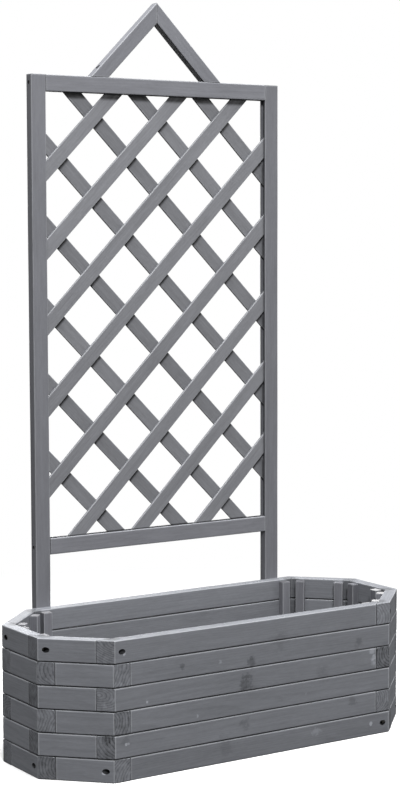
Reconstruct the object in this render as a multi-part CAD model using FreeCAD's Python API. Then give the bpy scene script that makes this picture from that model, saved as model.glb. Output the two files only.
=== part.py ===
import FreeCAD
import Part
import math
import os

os.makedirs("parts", exist_ok=True)

# Long eight-sided wooden planter with a lattice trellis standing behind it.
# Millimetres. X runs along the planter, Y from front to back, Z up.
# The origin is on the ground, in the middle of the overall length and depth.

Vector = FreeCAD.Vector
UP = Vector(0, 0, 1)

# ---------------------------------------------------------------- planter box
box_length = 1000.0
box_depth = 410.0
end_face_length = 166.0

course_count = 6
plank_height = 50.5
plank_thickness = 28.0
course_gap = 1.8
plank_arris = 2.0

batten_width = 22.0
batten_thickness = 18.0
batten_setback = 15.0
batten_drop = 4.0
batten_lift = 4.0
batten_arris = 1.5

# ------------------------------------------------------------ slatted floor
ledger_depth = 34.0
ledger_height = 25.0
ledger_lift = 14.0
ledger_end_gap = 1.0
floor_board_count = 13
floor_board_thickness = 15.0
floor_board_gap = 8.0
floor_edge_gap = 3.0

# ------------------------------------------------------------ trellis frame
post_height = 1548.0
post_width = 38.0
post_depth = 24.0
post_inset = 32.0
rail_height = 38.0
lower_rail_height_above_ground = 434.0
frame_arris = 2.0

# ------------------------------------------------------------------ lattice
slat_count = 8
slat_width = 34.0
slat_thickness = 6.0
slat_arris = 1.0
slat_outward_shifts = (2.0, 7.0, 1.0, -1.0)  # from the middle pair to the outer pair
falling_slat_shift = 2.0
groove_depth = 9.0
groove_fit = 0.3
slat_end_gap = 1.0

# -------------------------------------------------------------------- gable
gable_half_span = 181.0
gable_bar_width = 34.0
gable_bar_thickness = 24.0
gable_shift = -6.0
gable_slope = 45.0

# ------------------------------------------------------------------- screws
corner_screw_length = 56.0
corner_screw_shank = 5.0
corner_screw_head = 9.6
corner_screw_head_height = 2.6
corner_pocket_diameter = 12.0
corner_pocket_depth = 17.0

frame_screw_length = 66.0
back_screw_length = 42.0
gable_screw_length = 36.0
slim_screw_shank = 4.2
slim_screw_head = 7.6
slim_screw_head_height = 2.2
slim_pocket_diameter = 9.0
slim_pocket_depth = 4.5
gable_pocket_depth = 12.0
screw_fit = 0.15
bore_end_gap = 1.0
screw_point_length = 5.0
round_sides = 12

# ------------------------------------------------------------ worked-out sizes
box_height = course_count * plank_height + (course_count - 1) * course_gap
corner_cut = (box_depth - end_face_length) / 2
long_face_length = box_length - 2 * corner_cut
overall_depth = box_depth + post_depth
front_y = -overall_depth / 2
box_back_y = front_y + box_depth
post_middle_y = box_back_y + post_depth / 2
trellis_half_width = long_face_length / 2 - post_inset
opening_half_width = trellis_half_width - post_width
opening_bottom = lower_rail_height_above_ground + rail_height
opening_top = post_height - rail_height
groove_width = 2 * (slat_thickness + groove_fit)


# ----------------------------------------------------------------- the walls
class Wall:
    """One flat side of the box: a start corner, a direction along it and the way inwards."""

    def __init__(self, start, end):
        self.start = start
        self.direction = (end - start).normalize()
        self.inward = UP.cross(self.direction)

    def at(self, along, depth, height=0.0):
        """The point so far along the wall, so deep inside its outer face and so high."""
        return self.start + self.direction * along + self.inward * depth + UP * height

    def station(self, point):
        """How far along the wall a point lies."""
        return (point - self.start).dot(self.direction)


def box_corners():
    """The outer corners in plan, anticlockwise from the left end of the front wall."""
    end_x = box_length / 2
    face_x = long_face_length / 2
    end_front_y = front_y + corner_cut
    end_back_y = box_back_y - corner_cut
    return [
        Vector(-face_x, front_y, 0),
        Vector(face_x, front_y, 0),
        Vector(end_x, end_front_y, 0),
        Vector(end_x, end_back_y, 0),
        Vector(face_x, box_back_y, 0),
        Vector(-face_x, box_back_y, 0),
        Vector(-end_x, end_back_y, 0),
        Vector(-end_x, end_front_y, 0),
    ]


wall_names = ["front", "right_front", "right_end", "right_back",
              "back", "left_back", "left_end", "left_front"]
corners = box_corners()
wall_count = len(wall_names)
walls = []
for index in range(wall_count):
    next_corner = corners[(index + 1) % wall_count]
    walls.append(Wall(corners[index], next_corner))


def meeting_point(wall, depth, other, other_depth):
    """Where two upright planes cross in plan, each so deep inside its own wall."""
    from_point = wall.at(0, depth)
    to_plane = (other.at(0, other_depth) - from_point).dot(other.inward)
    return from_point + wall.direction * (to_plane / wall.direction.dot(other.inward))


# ------------------------------------------------------------ general shapes
same_way = 0.9999


def prism(points, height):
    """An upright solid over a plan outline."""
    outline = Part.makePolygon(points + [points[0]])
    return Part.Face(outline).extrude(UP * height)


def edges_along(solid, direction):
    """Every straight edge of a solid that runs in one direction."""
    chosen = []
    for edge in solid.Edges:
        run = (edge.Vertexes[-1].Point - edge.Vertexes[0].Point).normalize()
        if abs(run.dot(direction)) > same_way:
            chosen.append(edge)
    return chosen


def round_edges_along(solid, direction, radius):
    """Rounds the long edges, as on the planed trellis frame."""
    return solid.makeFillet(radius, edges_along(solid, direction))


def ease_edges_along(solid, direction, size):
    """Planes the long edges off, as on planks, battens and slats."""
    return solid.makeChamfer(size, edges_along(solid, direction))


def block(x_range, y_range, z_range):
    """A rectangular block between its lowest and highest corner."""
    sizes = [high - low for low, high in (x_range, y_range, z_range)]
    return Part.makeBox(*sizes, Vector(x_range[0], y_range[0], z_range[0]))


def middle_range(middle, size):
    """The low and high end of a size about its middle."""
    return (middle - size / 2, middle + size / 2)


# ------------------------------------------------------------------- screws
def round_outline(radius, height):
    """A circle drawn with a few straight sides, which keeps small screws and holes light."""
    turn = 2 * math.pi / round_sides
    rim = [Vector(radius * math.cos(turn * side), radius * math.sin(turn * side), height)
           for side in range(round_sides)]
    return Part.makePolygon(rim + [rim[0]])


def round_bar(radius, low, high):
    """A straight round bar along Z between two heights."""
    return Part.Face(round_outline(radius, low)).extrude(UP * (high - low))


class Screw:
    """A wood screw in a round pocket: where it enters the wood, which way and how deep it sits."""

    def __init__(self, entry, direction, pocket_depth, length, corner=False):
        self.entry = entry
        self.direction = direction
        self.length = length
        self.seat = entry + direction * pocket_depth
        self.pocket_depth = pocket_depth
        self.shank = corner_screw_shank if corner else slim_screw_shank
        self.head = corner_screw_head if corner else slim_screw_head
        self.head_height = corner_screw_head_height if corner else slim_screw_head_height
        self.pocket = corner_pocket_diameter if corner else slim_pocket_diameter

    def solid(self):
        """The screw: a round head over the seat, a shank and a point, turned in one piece."""
        body_length = self.length - screw_point_length
        head = round_bar(self.head / 2, -self.head_height, 0)
        shank = round_bar(self.shank / 2, 0, body_length)
        rim = round_outline(self.shank / 2, body_length)
        point = Part.makeLoft([rim, Part.Vertex(0, 0, self.length)], True, True)
        return self.placed(head.fuse([shank, point]).removeSplitter(), self.seat)

    def hole(self):
        """What is drilled away: a wide pocket down to the seat and a close bore for the shank."""
        outside = self.pocket
        pocket = round_bar(self.pocket / 2, -self.pocket_depth - outside, 0)
        bore = round_bar(self.shank / 2 + screw_fit, 0, self.length + bore_end_gap)
        return self.placed(pocket.fuse(bore), self.seat)

    def placed(self, shape, point):
        """A shape made along Z, moved so that it starts at a point and runs the screw's way."""
        shape.Placement = FreeCAD.Placement(point, FreeCAD.Rotation(UP, self.direction))
        return shape


def drilled(solid, screws):
    """A solid with the holes of its screws cut out."""
    for screw in screws:
        solid = solid.cut(screw.hole())
    return solid


# ---------------------------------------------------------- planks of the box
def course_bottom(course):
    """Height of a course's underside. Course 1 is the top one."""
    return (course_count - course) * (plank_height + course_gap)


def starts_through(course):
    """In odd courses each plank runs through at its start corner, in even ones at its end."""
    return course % 2 == 1


def plank(index, course):
    """One plank. Where it runs through, it is cut flush with the outside of the next wall,
    and where it butts, it stops against the inside of the plank that runs through."""
    wall = walls[index]
    before = walls[index - 1]
    after = walls[(index + 1) % wall_count]
    start_depth = 0 if starts_through(course) else plank_thickness
    end_depth = plank_thickness - start_depth
    plan = [
        meeting_point(wall, 0, before, start_depth),
        meeting_point(wall, 0, after, end_depth),
        meeting_point(wall, plank_thickness, after, end_depth),
        meeting_point(wall, plank_thickness, before, start_depth),
    ]
    solid = prism(plan, plank_height)
    solid.translate(UP * course_bottom(course))
    return ease_edges_along(solid, wall.direction, plank_arris)


def corner_screw(index, course):
    """The screw at a wall's start corner. It goes in slantwise through the plank that runs
    through, along the middle of the thickness of the plank that butts against it."""
    if starts_through(course):
        through = walls[index]
        butted = walls[index - 1]
        direction = butted.direction * -1
    else:
        through = walls[index - 1]
        butted = walls[index]
        direction = butted.direction
    entry = meeting_point(through, 0, butted, plank_thickness / 2)
    entry = entry + UP * (course_bottom(course) + plank_height / 2)
    return Screw(entry, direction, corner_pocket_depth, corner_screw_length, corner=True)


def back_screw(side, course):
    """A screw from behind, through a trellis post into a plank of the back wall."""
    height = course_bottom(course) + plank_height / 2
    entry = Vector(side * (trellis_half_width - post_width / 2), box_back_y + post_depth, height)
    return Screw(entry, Vector(0, -1, 0), slim_pocket_depth, back_screw_length)


back_screw_courses = range(1, course_count + 1, 2)
corner_screws = {}
for course in (1, course_count):
    for index in range(wall_count):
        corner_screws[course, index] = corner_screw(index, course)

back_screws = {}
for course in back_screw_courses:
    for side in (-1, 1):
        back_screws[course, side] = back_screw(side, course)


def finished_plank(index, course):
    """A plank with the holes for the screws that pass through it or end in it."""
    screws = []
    if (course, index) in corner_screws:
        screws.append(corner_screws[course, index])
        screws.append(corner_screws[course, (index + 1) % wall_count])
    if wall_names[index] == "back":
        screws += [screw for (at, side), screw in back_screws.items() if at == course]
    return drilled(plank(index, course), screws)


# --------------------------------------------------------- battens and floor
def batten_stations(index):
    """The near end of each batten, as distances along a wall from its start corner."""
    wall = walls[index]
    inner_start = meeting_point(wall, plank_thickness, walls[index - 1], plank_thickness)
    inner_end = meeting_point(wall, plank_thickness, walls[(index + 1) % wall_count], plank_thickness)
    first = wall.station(inner_start) + batten_setback
    last = wall.station(inner_end) - batten_setback - batten_width
    return first, last


def wall_block(wall, along_range, depth_range, height_range):
    """A block that lies along a wall, in the wall's own directions."""
    plan = [
        wall.at(along_range[0], depth_range[0], height_range[0]),
        wall.at(along_range[1], depth_range[0], height_range[0]),
        wall.at(along_range[1], depth_range[1], height_range[0]),
        wall.at(along_range[0], depth_range[1], height_range[0]),
    ]
    return prism(plan, height_range[1] - height_range[0])


def battens(index):
    """The two upright battens that hold a wall's planks together."""
    inner_face = plank_thickness
    height_range = (batten_lift, box_height - batten_drop)
    pair = []
    for station in batten_stations(index):
        solid = wall_block(walls[index], (station, station + batten_width),
                           (inner_face, inner_face + batten_thickness), height_range)
        pair.append(ease_edges_along(solid, UP, batten_arris))
    return Part.makeCompound(pair)


def ledger(index):
    """The short beam along the foot of a wall that carries the floor, between its battens."""
    first, last = batten_stations(index)
    along_range = (first + batten_width + ledger_end_gap, last - ledger_end_gap)
    return wall_block(walls[index], along_range, (plank_thickness, plank_thickness + ledger_depth),
                      (ledger_lift, ledger_lift + ledger_height))


def floor_boards():
    """The loose boards across the box, with drainage gaps, cut to the box's eight sides."""
    floor_depth = plank_thickness + batten_thickness + floor_edge_gap
    outline = [meeting_point(walls[index], floor_depth, walls[index - 1], floor_depth)
               for index in range(wall_count)]
    height = ledger_lift + ledger_height
    plate = prism(outline, floor_board_thickness)
    plate.translate(UP * height)
    length = box_length - 2 * floor_depth
    pitch = (length + floor_board_gap) / floor_board_count
    boards = []
    for number in range(floor_board_count):
        left = -length / 2 + number * pitch
        strip = block((left, left + pitch - floor_board_gap), (front_y, box_back_y),
                      (height, height + floor_board_thickness))
        boards += plate.common(strip).Solids
    return Part.makeCompound(boards)


# ------------------------------------------------------------- trellis frame
def frame_bar(x_range, z_range, run):
    """A planed bar of the trellis frame, rounded along its run."""
    solid = block(x_range, middle_range(post_middle_y, post_depth), z_range)
    return round_edges_along(solid, run, frame_arris)


def groove():
    """The groove round the opening in the frame that holds the slats' ends."""
    reach = opening_half_width + groove_depth
    return block((-reach, reach), middle_range(post_middle_y, groove_width),
                 (opening_bottom - groove_depth, opening_top + groove_depth))


def frame_screw(side, height):
    """A screw through a post's outer side into the end of a rail."""
    entry = Vector(side * trellis_half_width, post_middle_y, height)
    return Screw(entry, Vector(-side, 0, 0), slim_pocket_depth, frame_screw_length)


rail_middles = (opening_bottom - rail_height / 2, opening_top + rail_height / 2)
frame_screws = {}
for side in (-1, 1):
    for height in rail_middles:
        frame_screws[side, height] = frame_screw(side, height)


def post(side):
    """An upright post behind the back wall, with the slats' groove and its screw holes."""
    x_range = middle_range(side * (trellis_half_width - post_width / 2), post_width)
    solid = frame_bar(x_range, (0, post_height), UP).cut(groove())
    screws = [screw for (at, height), screw in frame_screws.items() if at == side]
    screws += [screw for (course, at), screw in back_screws.items() if at == side]
    return drilled(solid, screws)


def rail(middle, screws):
    """A rail between the posts, with the slats' groove in the edge that faces the opening."""
    solid = frame_bar((-opening_half_width, opening_half_width),
                      middle_range(middle, rail_height), Vector(1, 0, 0)).cut(groove())
    screws = screws + [screw for (side, at), screw in frame_screws.items() if at == middle]
    return drilled(solid, screws)


# -------------------------------------------------------------------- lattice
def slat(number, rise):
    """One slat at 45 degrees. Rising slats lie in front of the falling ones. Both kinds divide
    the opening evenly from one corner to the other, but for a small shift of each pair."""
    opening_height = opening_top - opening_bottom
    spread = 2 * opening_half_width + opening_height
    step = spread / (slat_count + 1)
    middle = Vector(0, 0, (opening_bottom + opening_top) / 2)
    from_middle = number - (slat_count + 1) / 2
    pair = min(int(abs(from_middle)), len(slat_outward_shifts) - 1)
    shift = math.copysign(1, from_middle) * slat_outward_shifts[pair]
    if rise > 0:
        middle_y = post_middle_y - slat_thickness / 2
    else:
        middle_y = post_middle_y + slat_thickness / 2
        shift += falling_slat_shift
    offset = from_middle * step + shift * math.sqrt(2)
    strip = block(middle_range(0, 2 * spread), middle_range(0, slat_thickness),
                  middle_range(0, slat_width))
    strip = ease_edges_along(strip, Vector(1, 0, 0), slat_arris)
    strip.rotate(Vector(0, 0, 0), Vector(0, -1, 0), rise * 45)
    strip.translate(middle + UP * offset + Vector(0, middle_y, 0))
    reach = groove_depth - slat_end_gap
    limit = block((-opening_half_width - reach, opening_half_width + reach),
                  middle_range(post_middle_y, 2 * post_depth),
                  (opening_bottom - reach, opening_top + reach))
    return strip.common(limit)


# ---------------------------------------------------------------------- gable
gable_tangent = math.tan(math.radians(gable_slope))
gable_bar_upright = gable_bar_width / math.cos(math.radians(gable_slope))
gable_foot_length = gable_bar_upright / gable_tangent


def gable_bar(side, screw):
    """One sloping bar of the gable, cut level at its foot and upright where the two meet."""
    outer_foot = side * gable_half_span
    inner_foot = side * (gable_half_span - gable_foot_length)
    outer_apex = gable_half_span * gable_tangent
    inner_apex = outer_apex - gable_bar_upright
    outline = [
        Vector(outer_foot, 0, 0),
        Vector(0, 0, outer_apex),
        Vector(0, 0, inner_apex),
        Vector(inner_foot, 0, 0),
    ]
    outline = [point + Vector(gable_shift, 0, post_height) for point in outline]
    face = Part.Face(Part.makePolygon(outline + [outline[0]]))
    solid = face.extrude(Vector(0, gable_bar_thickness, 0))
    solid.translate(Vector(0, post_middle_y - gable_bar_thickness / 2, 0))
    run = (outline[1] - outline[0]).normalize()
    return drilled(round_edges_along(solid, run, frame_arris), [screw])


def gable_screw(side):
    """An upright screw through the middle of a bar's foot into the top rail."""
    inset = gable_foot_length / 2
    entry_x = gable_shift + side * (gable_half_span - inset)
    entry = Vector(entry_x, post_middle_y, post_height + inset * gable_tangent)
    return Screw(entry, UP * -1, gable_pocket_depth, gable_screw_length)


# ----------------------------------------------------------------- the parts
parts = {}
for index, name in enumerate(wall_names):
    planks = [finished_plank(index, course) for course in range(1, course_count + 1)]
    if name in ("front", "back"):
        for course, solid in enumerate(planks, start=1):
            parts["%s_plank_%d" % (name, course)] = solid
    else:
        parts["%s_planks" % name] = Part.makeCompound(planks)
    parts["%s_battens" % name] = battens(index)

parts["floor_ledgers"] = Part.makeCompound([ledger(index) for index in range(wall_count)])
parts["floor_boards"] = floor_boards()

gable_screws = [gable_screw(-1), gable_screw(1)]
parts["left_post"] = post(-1)
parts["right_post"] = post(1)
parts["lower_rail"] = rail(rail_middles[0], [])
parts["top_rail"] = rail(rail_middles[1], gable_screws)
parts["gable_left_bar"] = gable_bar(-1, gable_screws[0])
parts["gable_right_bar"] = gable_bar(1, gable_screws[1])

for number in range(1, slat_count + 1):
    parts["rising_slat_%d" % number] = slat(number, 1)
    parts["falling_slat_%d" % number] = slat(number, -1)


def screw_group(screws):
    """Screws of one kind as separate solids in one piece."""
    return Part.makeCompound([screw.solid() for screw in screws])


parts["corner_screws"] = screw_group(corner_screws.values())
parts["back_screws"] = screw_group(back_screws.values())
parts["frame_screws"] = screw_group(frame_screws.values())
parts["gable_screws"] = screw_group(gable_screws)

for name, shape in parts.items():
    shape.exportStep("parts/%s.step" % name)
print("pieces", len(parts), "solids", sum(len(shape.Solids) for shape in parts.values()))
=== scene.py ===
# %% [markdown]
# # A planter with a trellis, dressed as stained wood
# The real object is a trough of short grey planks, lapped at eight corners, with a lattice panel behind it.
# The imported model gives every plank, post and slat its place. This lesson swaps each plain solid for a board
# with rounded edges and real end grain, and then stains all of them with one wood finish.

# %% Load the frame
import bpy
import math
import numpy as np
from mathutils import Matrix, Vector


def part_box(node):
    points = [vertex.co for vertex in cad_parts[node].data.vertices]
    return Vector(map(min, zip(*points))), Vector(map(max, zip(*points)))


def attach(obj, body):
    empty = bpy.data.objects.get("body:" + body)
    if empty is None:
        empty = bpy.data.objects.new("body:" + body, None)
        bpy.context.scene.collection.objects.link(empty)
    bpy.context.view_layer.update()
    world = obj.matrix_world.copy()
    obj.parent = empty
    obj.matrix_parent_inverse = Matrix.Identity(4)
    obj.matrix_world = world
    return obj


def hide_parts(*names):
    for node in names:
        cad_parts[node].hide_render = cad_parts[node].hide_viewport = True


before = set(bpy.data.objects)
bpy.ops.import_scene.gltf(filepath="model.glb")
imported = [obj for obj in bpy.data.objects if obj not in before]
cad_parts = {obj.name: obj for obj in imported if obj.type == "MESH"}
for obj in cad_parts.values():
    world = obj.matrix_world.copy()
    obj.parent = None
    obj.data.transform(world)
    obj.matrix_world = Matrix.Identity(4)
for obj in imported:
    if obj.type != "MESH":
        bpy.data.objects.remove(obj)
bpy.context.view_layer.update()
print("frame loaded:", len(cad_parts), "nodes")

# %% [markdown]
# ## Measure the frame
# The boards have to lie exactly where the solids lie. So the script measures a few solids and works out the
# walls, courses and frame members from them, and holds no second set of sizes that could drift apart.

# %% Sizes read from the frame
MM = 0.001
UP = np.array([0, 0, 1.0])


def box(node):
    """The lowest and highest corner of a node as numpy arrays."""
    low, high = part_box(node)
    return np.array(low), np.array(high)


front_low, front_high = box("front_plank_1")
back_y = box("back_plank_1")[1][1]
right_high = box("right_end_planks")[1]
post_low, post_high = box("right_post")
slat_low, slat_high = box("rising_slat_4")
plank_depth = front_high[1] - front_low[1]
plank_width = front_high[2] - front_low[2]
front_y = front_low[1]
end_x = right_high[0]
face_x = -front_low[0] - plank_depth
corner_cut = end_x - face_x
middle_y = (front_y + back_y) / 2
course_bottoms = [box("front_plank_%d" % course)[0][2] for course in range(1, 7)]
post_y = (post_low[1] + post_high[1]) / 2
post_depth = post_high[1] - post_low[1]
trellis_x = post_high[0]
post_width = post_high[0] - post_low[0]
opening_x = post_low[0]
print("plank %.1f x %.1f mm, corner cut %.1f mm" % (plank_width / MM, plank_depth / MM, corner_cut / MM))

# %% [markdown]
# ## Camera
# The photograph's viewpoint was found by matching the corners of the box and the trellis: it looks about
# 33 degrees round from the front and 5 degrees down. A long lens keeps the uprights nearly parallel. The
# picture is upright, so its long side is what the sensor width spans.

# %% Camera
PHOTO_HEIGHT = 786
camera_place = Vector((-2.3694, -3.6063, 1.1826))
camera_turn = math.radians(33.149)
camera_down = math.radians(4.900)
camera_roll = math.radians(-0.188)
focal_pixels = 1859.2


def new_object(name, data):
    """An object of a mesh, a camera or a lamp, put in the scene."""
    made = bpy.data.objects.new(name, data)
    bpy.context.scene.collection.objects.link(made)
    return made


camera_data = bpy.data.cameras.new("camera")
camera_data.sensor_width = 36
camera_data.lens = 36 * focal_pixels / PHOTO_HEIGHT
camera_data.clip_end = 50
camera = new_object("camera", camera_data)
turned = Matrix.Rotation(-camera_turn, 4, "Z") @ Matrix.Rotation(math.radians(90) - camera_down, 4, "X")
camera.matrix_world = Matrix.Translation(camera_place) @ turned @ Matrix.Rotation(camera_roll, 4, "Z")
bpy.context.scene.camera = camera
bpy.context.scene.view_settings.view_transform = "Standard"
print("lens %.1f mm" % camera_data.lens)

# %% [markdown]
# ## Board surfaces
# A board is one profile, a rectangle with rounded corners, carried along a straight run. Its ends are planes
# that may stand aslant, so each point of the profile gets its own start and end along the run. Working on
# whole arrays is quick and gives evenly spaced points that take a little warp well.


# %% Profile of a board
WEAR_REACH = 2.2 * MM
FLAT_SHARE = 0.4


def rounded_profile(width, depth, radius, points=5):
    """Points round a rectangle with rounded corners: across in one array, outward in the other.
    Each corner is a quarter circle about a centre that lies one radius in from both sides, with one
    more point on the flat before it and after it, where the pale strip along the edge, partly worn and partly
    a painted highlight, ends."""
    turn = np.linspace(0, math.pi / 2, points)
    margins = [min(WEAR_REACH, FLAT_SHARE * (side - 2 * radius)) for side in (depth, width)]
    across, outward = [], []
    for corner in range(4):
        angle = turn + corner * math.pi / 2
        side_across = 1 if corner in (0, 3) else -1
        side_outward = 1 if corner in (0, 1) else -1
        arc_across = side_across * (width / 2 - radius) + radius * np.cos(angle)
        arc_outward = side_outward * (depth / 2 - radius) + radius * np.sin(angle)
        before, after = margins[corner % 2], margins[1 - corner % 2]
        across += [arc_across[0] + before * np.sin(angle[0]), *arc_across,
                   arc_across[-1] - after * np.sin(angle[-1])]
        outward += [arc_outward[0] - before * np.cos(angle[0]), *arc_outward,
                    arc_outward[-1] + after * np.cos(angle[-1])]
    return np.array(across), np.array(outward)


# %% Board carried along its run
END_EASE = 0.8 * MM
END_SEAM = 1.2 * MM
END_WEAR = 0.9


class Board:
    """A board's place: the middle of its section at run 0, its three directions and its section."""

    def __init__(self, origin, run, across, width, depth, radius, random):
        self.origin = np.array(origin, float)
        self.run = np.array(run, float)
        self.across = np.array(across, float)
        self.outward = np.cross(self.run, self.across)
        self.width, self.depth, self.radius = width, depth, radius
        self.pith = np.array([random.uniform(-5, 5), random.uniform(-0.9, 0.9) * width,
                              random.choice([-1, 1]) * depth * random.uniform(0.3, 2.4)])
        self.tone = random.uniform(0, 1)
        self.painted_light = 1.0
        self.bare = self.soak = 0.0
        self.waves = random.uniform(0, 2 * math.pi, (2, 3))
        self.tight_start = self.tight_end = self.shaded_foot = False
        self.shaded = []

    def wander(self, along):
        """Slight warp: three sine waves along the run, for the across and the outward direction."""
        waves = 0
        for number, strength in enumerate((0.12 * MM, 0.08 * MM, 0.04 * MM)):
            pitch = (number + 1) * 7.0
            waves = waves + strength * np.sin(pitch * along[..., None] + self.waves[:, number])
        return waves

    def surface(self, start, end, stations=24, marks=()):
        """Rings of the profile from the start plane to the end plane, closed by a fan at each end.
        The first and last ring are drawn in a little, which eases the end's edges. Marks ask for
        more rings at given distances."""
        across, outward = rounded_profile(self.width, self.depth, self.radius)
        across_inset = across * (1 - 2 * END_EASE / self.width)
        outward_inset = outward * (1 - 2 * END_EASE / self.depth)
        self.start, self.end = start, end
        low = start(across, outward)
        high = end(across, outward)
        length = (high - low).min()
        seam, margin = END_SEAM / length, (WEAR_REACH + END_WEAR * self.radius) / length
        even = np.linspace(margin, 1 - margin, stations - 2)
        steps = np.concatenate([[0, seam], even, [1 - seam, 1]])[:, None]
        along = (low + END_EASE) * (1 - steps) + (high - END_EASE) * steps
        marks = [mark for mark in marks if low.min() < mark < high.max()]
        if marks:
            wanted = np.clip(np.array(marks)[:, None], low + END_EASE, high - END_EASE)
            along = np.sort(np.vstack([along, wanted]), axis=0)
        stations = len(along)
        along = np.vstack([low, along, high])
        ring_across = np.vstack([across_inset] + [across] * stations + [across_inset])
        ring_outward = np.vstack([outward_inset] + [outward] * stations + [outward_inset])
        shift = self.wander(along)
        rings = self.place(along, ring_across + shift[..., 0], ring_outward + shift[..., 1])
        count = len(across)
        ends = [rings[:1].mean(axis=1), rings[-1:].mean(axis=1)]
        points = np.vstack([rings.reshape(-1, 3)] + ends)
        ring = np.arange(count)
        after = (ring + 1) % count
        faces = []
        for level in range(len(along) - 1):
            below, above = level * count, (level + 1) * count
            faces += np.stack([below + ring, below + after, above + after, above + ring], 1).tolist()
        first_middle = len(points) - 2
        top = (len(along) - 1) * count
        faces += np.stack([after, ring, np.full(count, first_middle)], 1).tolist()
        faces += np.stack([top + ring, top + after, np.full(count, first_middle + 1)], 1).tolist()
        self.points, self.faces = points, faces
        return self

    def place(self, along, across, outward):
        """A point from its distances along the run, across and outward."""
        return (self.origin + np.multiply.outer(along, self.run) + np.multiply.outer(across, self.across)
                + np.multiply.outer(outward, self.outward))

    def measured(self, points):
        """Along, across and outward distances of points."""
        offset = points - self.origin
        return offset @ self.run, offset @ self.across, offset @ self.outward

    def depths(self, points):
        """How deep points lie under the narrow sides, the wide sides and the ends of the board."""
        along, across, outward = self.measured(points)
        from_ends = np.minimum(along - self.start(across, outward), self.end(across, outward) - along)
        return self.width / 2 - np.abs(across), self.depth / 2 - np.abs(outward), from_ends


def level(distance):
    """An end plane square to the run."""
    return lambda across, outward: np.full_like(across, distance)


print("a board profile has", len(rounded_profile(0.05, 0.02, 0.002)[0]), "points")

# %% [markdown]
# ## Holes and grooves
# The corner screws sit in round pockets bored aslant, and the slats' ends sit in a groove. A Boolean cuts
# these out of a finished board, as the drill and the saw do. It is run on one board at a time, because a
# small mesh cuts quickly and cleanly.


# %% Cutting with a Boolean
def circle(direction, turn):
    """Points of a circle of radius 1 square to a direction, one for each angle."""
    helper = UP if abs(direction[2]) < 0.9 else np.array([1.0, 0, 0])
    side = np.cross(direction, helper)
    side /= np.linalg.norm(side)
    other = np.cross(direction, side)
    return np.multiply.outer(np.cos(turn), side) + np.multiply.outer(np.sin(turn), other)


def rod_mesh(centre, direction, radius, length, sides=32):
    """A round bar's points and faces, from a centre point along a direction."""
    direction = np.array(direction, float)
    rim = radius * circle(direction, np.linspace(0, 2 * math.pi, sides, endpoint=False))
    points = np.vstack([centre + rim, centre + rim + direction * length])
    ring = np.arange(sides)
    after = (ring + 1) % sides
    faces = np.stack([ring, after, after + sides, ring + sides], 1).tolist()
    faces += [ring[::-1].tolist(), (ring + sides).tolist()]
    return points, faces


def box_mesh(low, high):
    """A box's points and faces between two corners."""
    low, high = np.array(low), np.array(high)
    pick = np.array([[x, y, z] for z in (0, 1) for y in (0, 1) for x in (0, 1)])
    points = low + pick * (high - low)
    faces = [[0, 2, 3, 1], [4, 5, 7, 6], [0, 1, 5, 4], [2, 6, 7, 3], [0, 4, 6, 2], [1, 3, 7, 5]]
    return points, faces


def raw_object(points, faces):
    mesh = bpy.data.meshes.new("working")
    mesh.from_pydata(np.asarray(points).tolist(), [], faces)
    mesh.validate()
    return new_object("working", mesh)


def read_mesh(mesh):
    """The points and faces of a mesh, as an array and a list."""
    points = np.empty(len(mesh.vertices) * 3)
    mesh.vertices.foreach_get("co", points)
    return points.reshape(-1, 3), [list(polygon.vertices) for polygon in mesh.polygons]


def cut(board, cutters):
    """The board with its cutters taken away, one Boolean after another."""
    body = raw_object(board.points, board.faces)
    tools = [raw_object(*cutter) for cutter in cutters]
    for tool in tools:
        cutting = body.modifiers.new("cut", "BOOLEAN")
        cutting.object = tool
        cutting.operation = "DIFFERENCE"
        cutting.solver = "EXACT"
    finished = body.evaluated_get(bpy.context.evaluated_depsgraph_get()).to_mesh()
    board.points, board.faces = read_mesh(finished)
    for working in [body] + tools:
        mesh = working.data
        bpy.data.objects.remove(working)
        bpy.data.meshes.remove(mesh)
    return board


# %% [markdown]
# ## From boards to pieces
# A wood finish has to know which way each board's grain runs. So every point carries its distances along,
# across and through its own board, measured from an imagined pith. More numbers go with it: how near the
# point is to an edge, whose pale strip is partly worn and partly a painted highlight, and to a stained joint
# or painted shade, and what sets its board apart, such as its tone, its painted light or shade and how much
# stain its end drank. Every face knows whether it is end grain, in a hole or an underside.

# %% Joining boards into a piece
END_GRAIN_LIMIT = 0.5
HOLLOW_FROM = 0.8 * MM
DIRT_REACH = 1.8 * MM
DIRT_AND_SHADE_DEPTH = 2.0
UNDERSIDE_LIMIT = -0.4
SHARP_ANGLE = math.radians(35)
SHADE_REACH = 11.0 * MM
SHADE_RINGS = (-0.3, -0.05, 0.5, 1.0)
materials = {}


def edge_wear_and_highlight(board):
    """1 on the board's edges, falling to 0 within a few millimetres on both sides. An edge is where
    two of the three depths are small. The pale strip it gives is partly worn wood and partly a painted
    highlight."""
    narrow, wide, ends = board.depths(board.points)
    long_edge = np.hypot(narrow, wide) - 0.4 * board.radius
    end_edge = np.hypot(np.minimum(narrow, wide), ends) - END_WEAR * board.radius
    return np.clip(1 - np.minimum(long_edge, end_edge) / WEAR_REACH, 0, 1)


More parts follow.
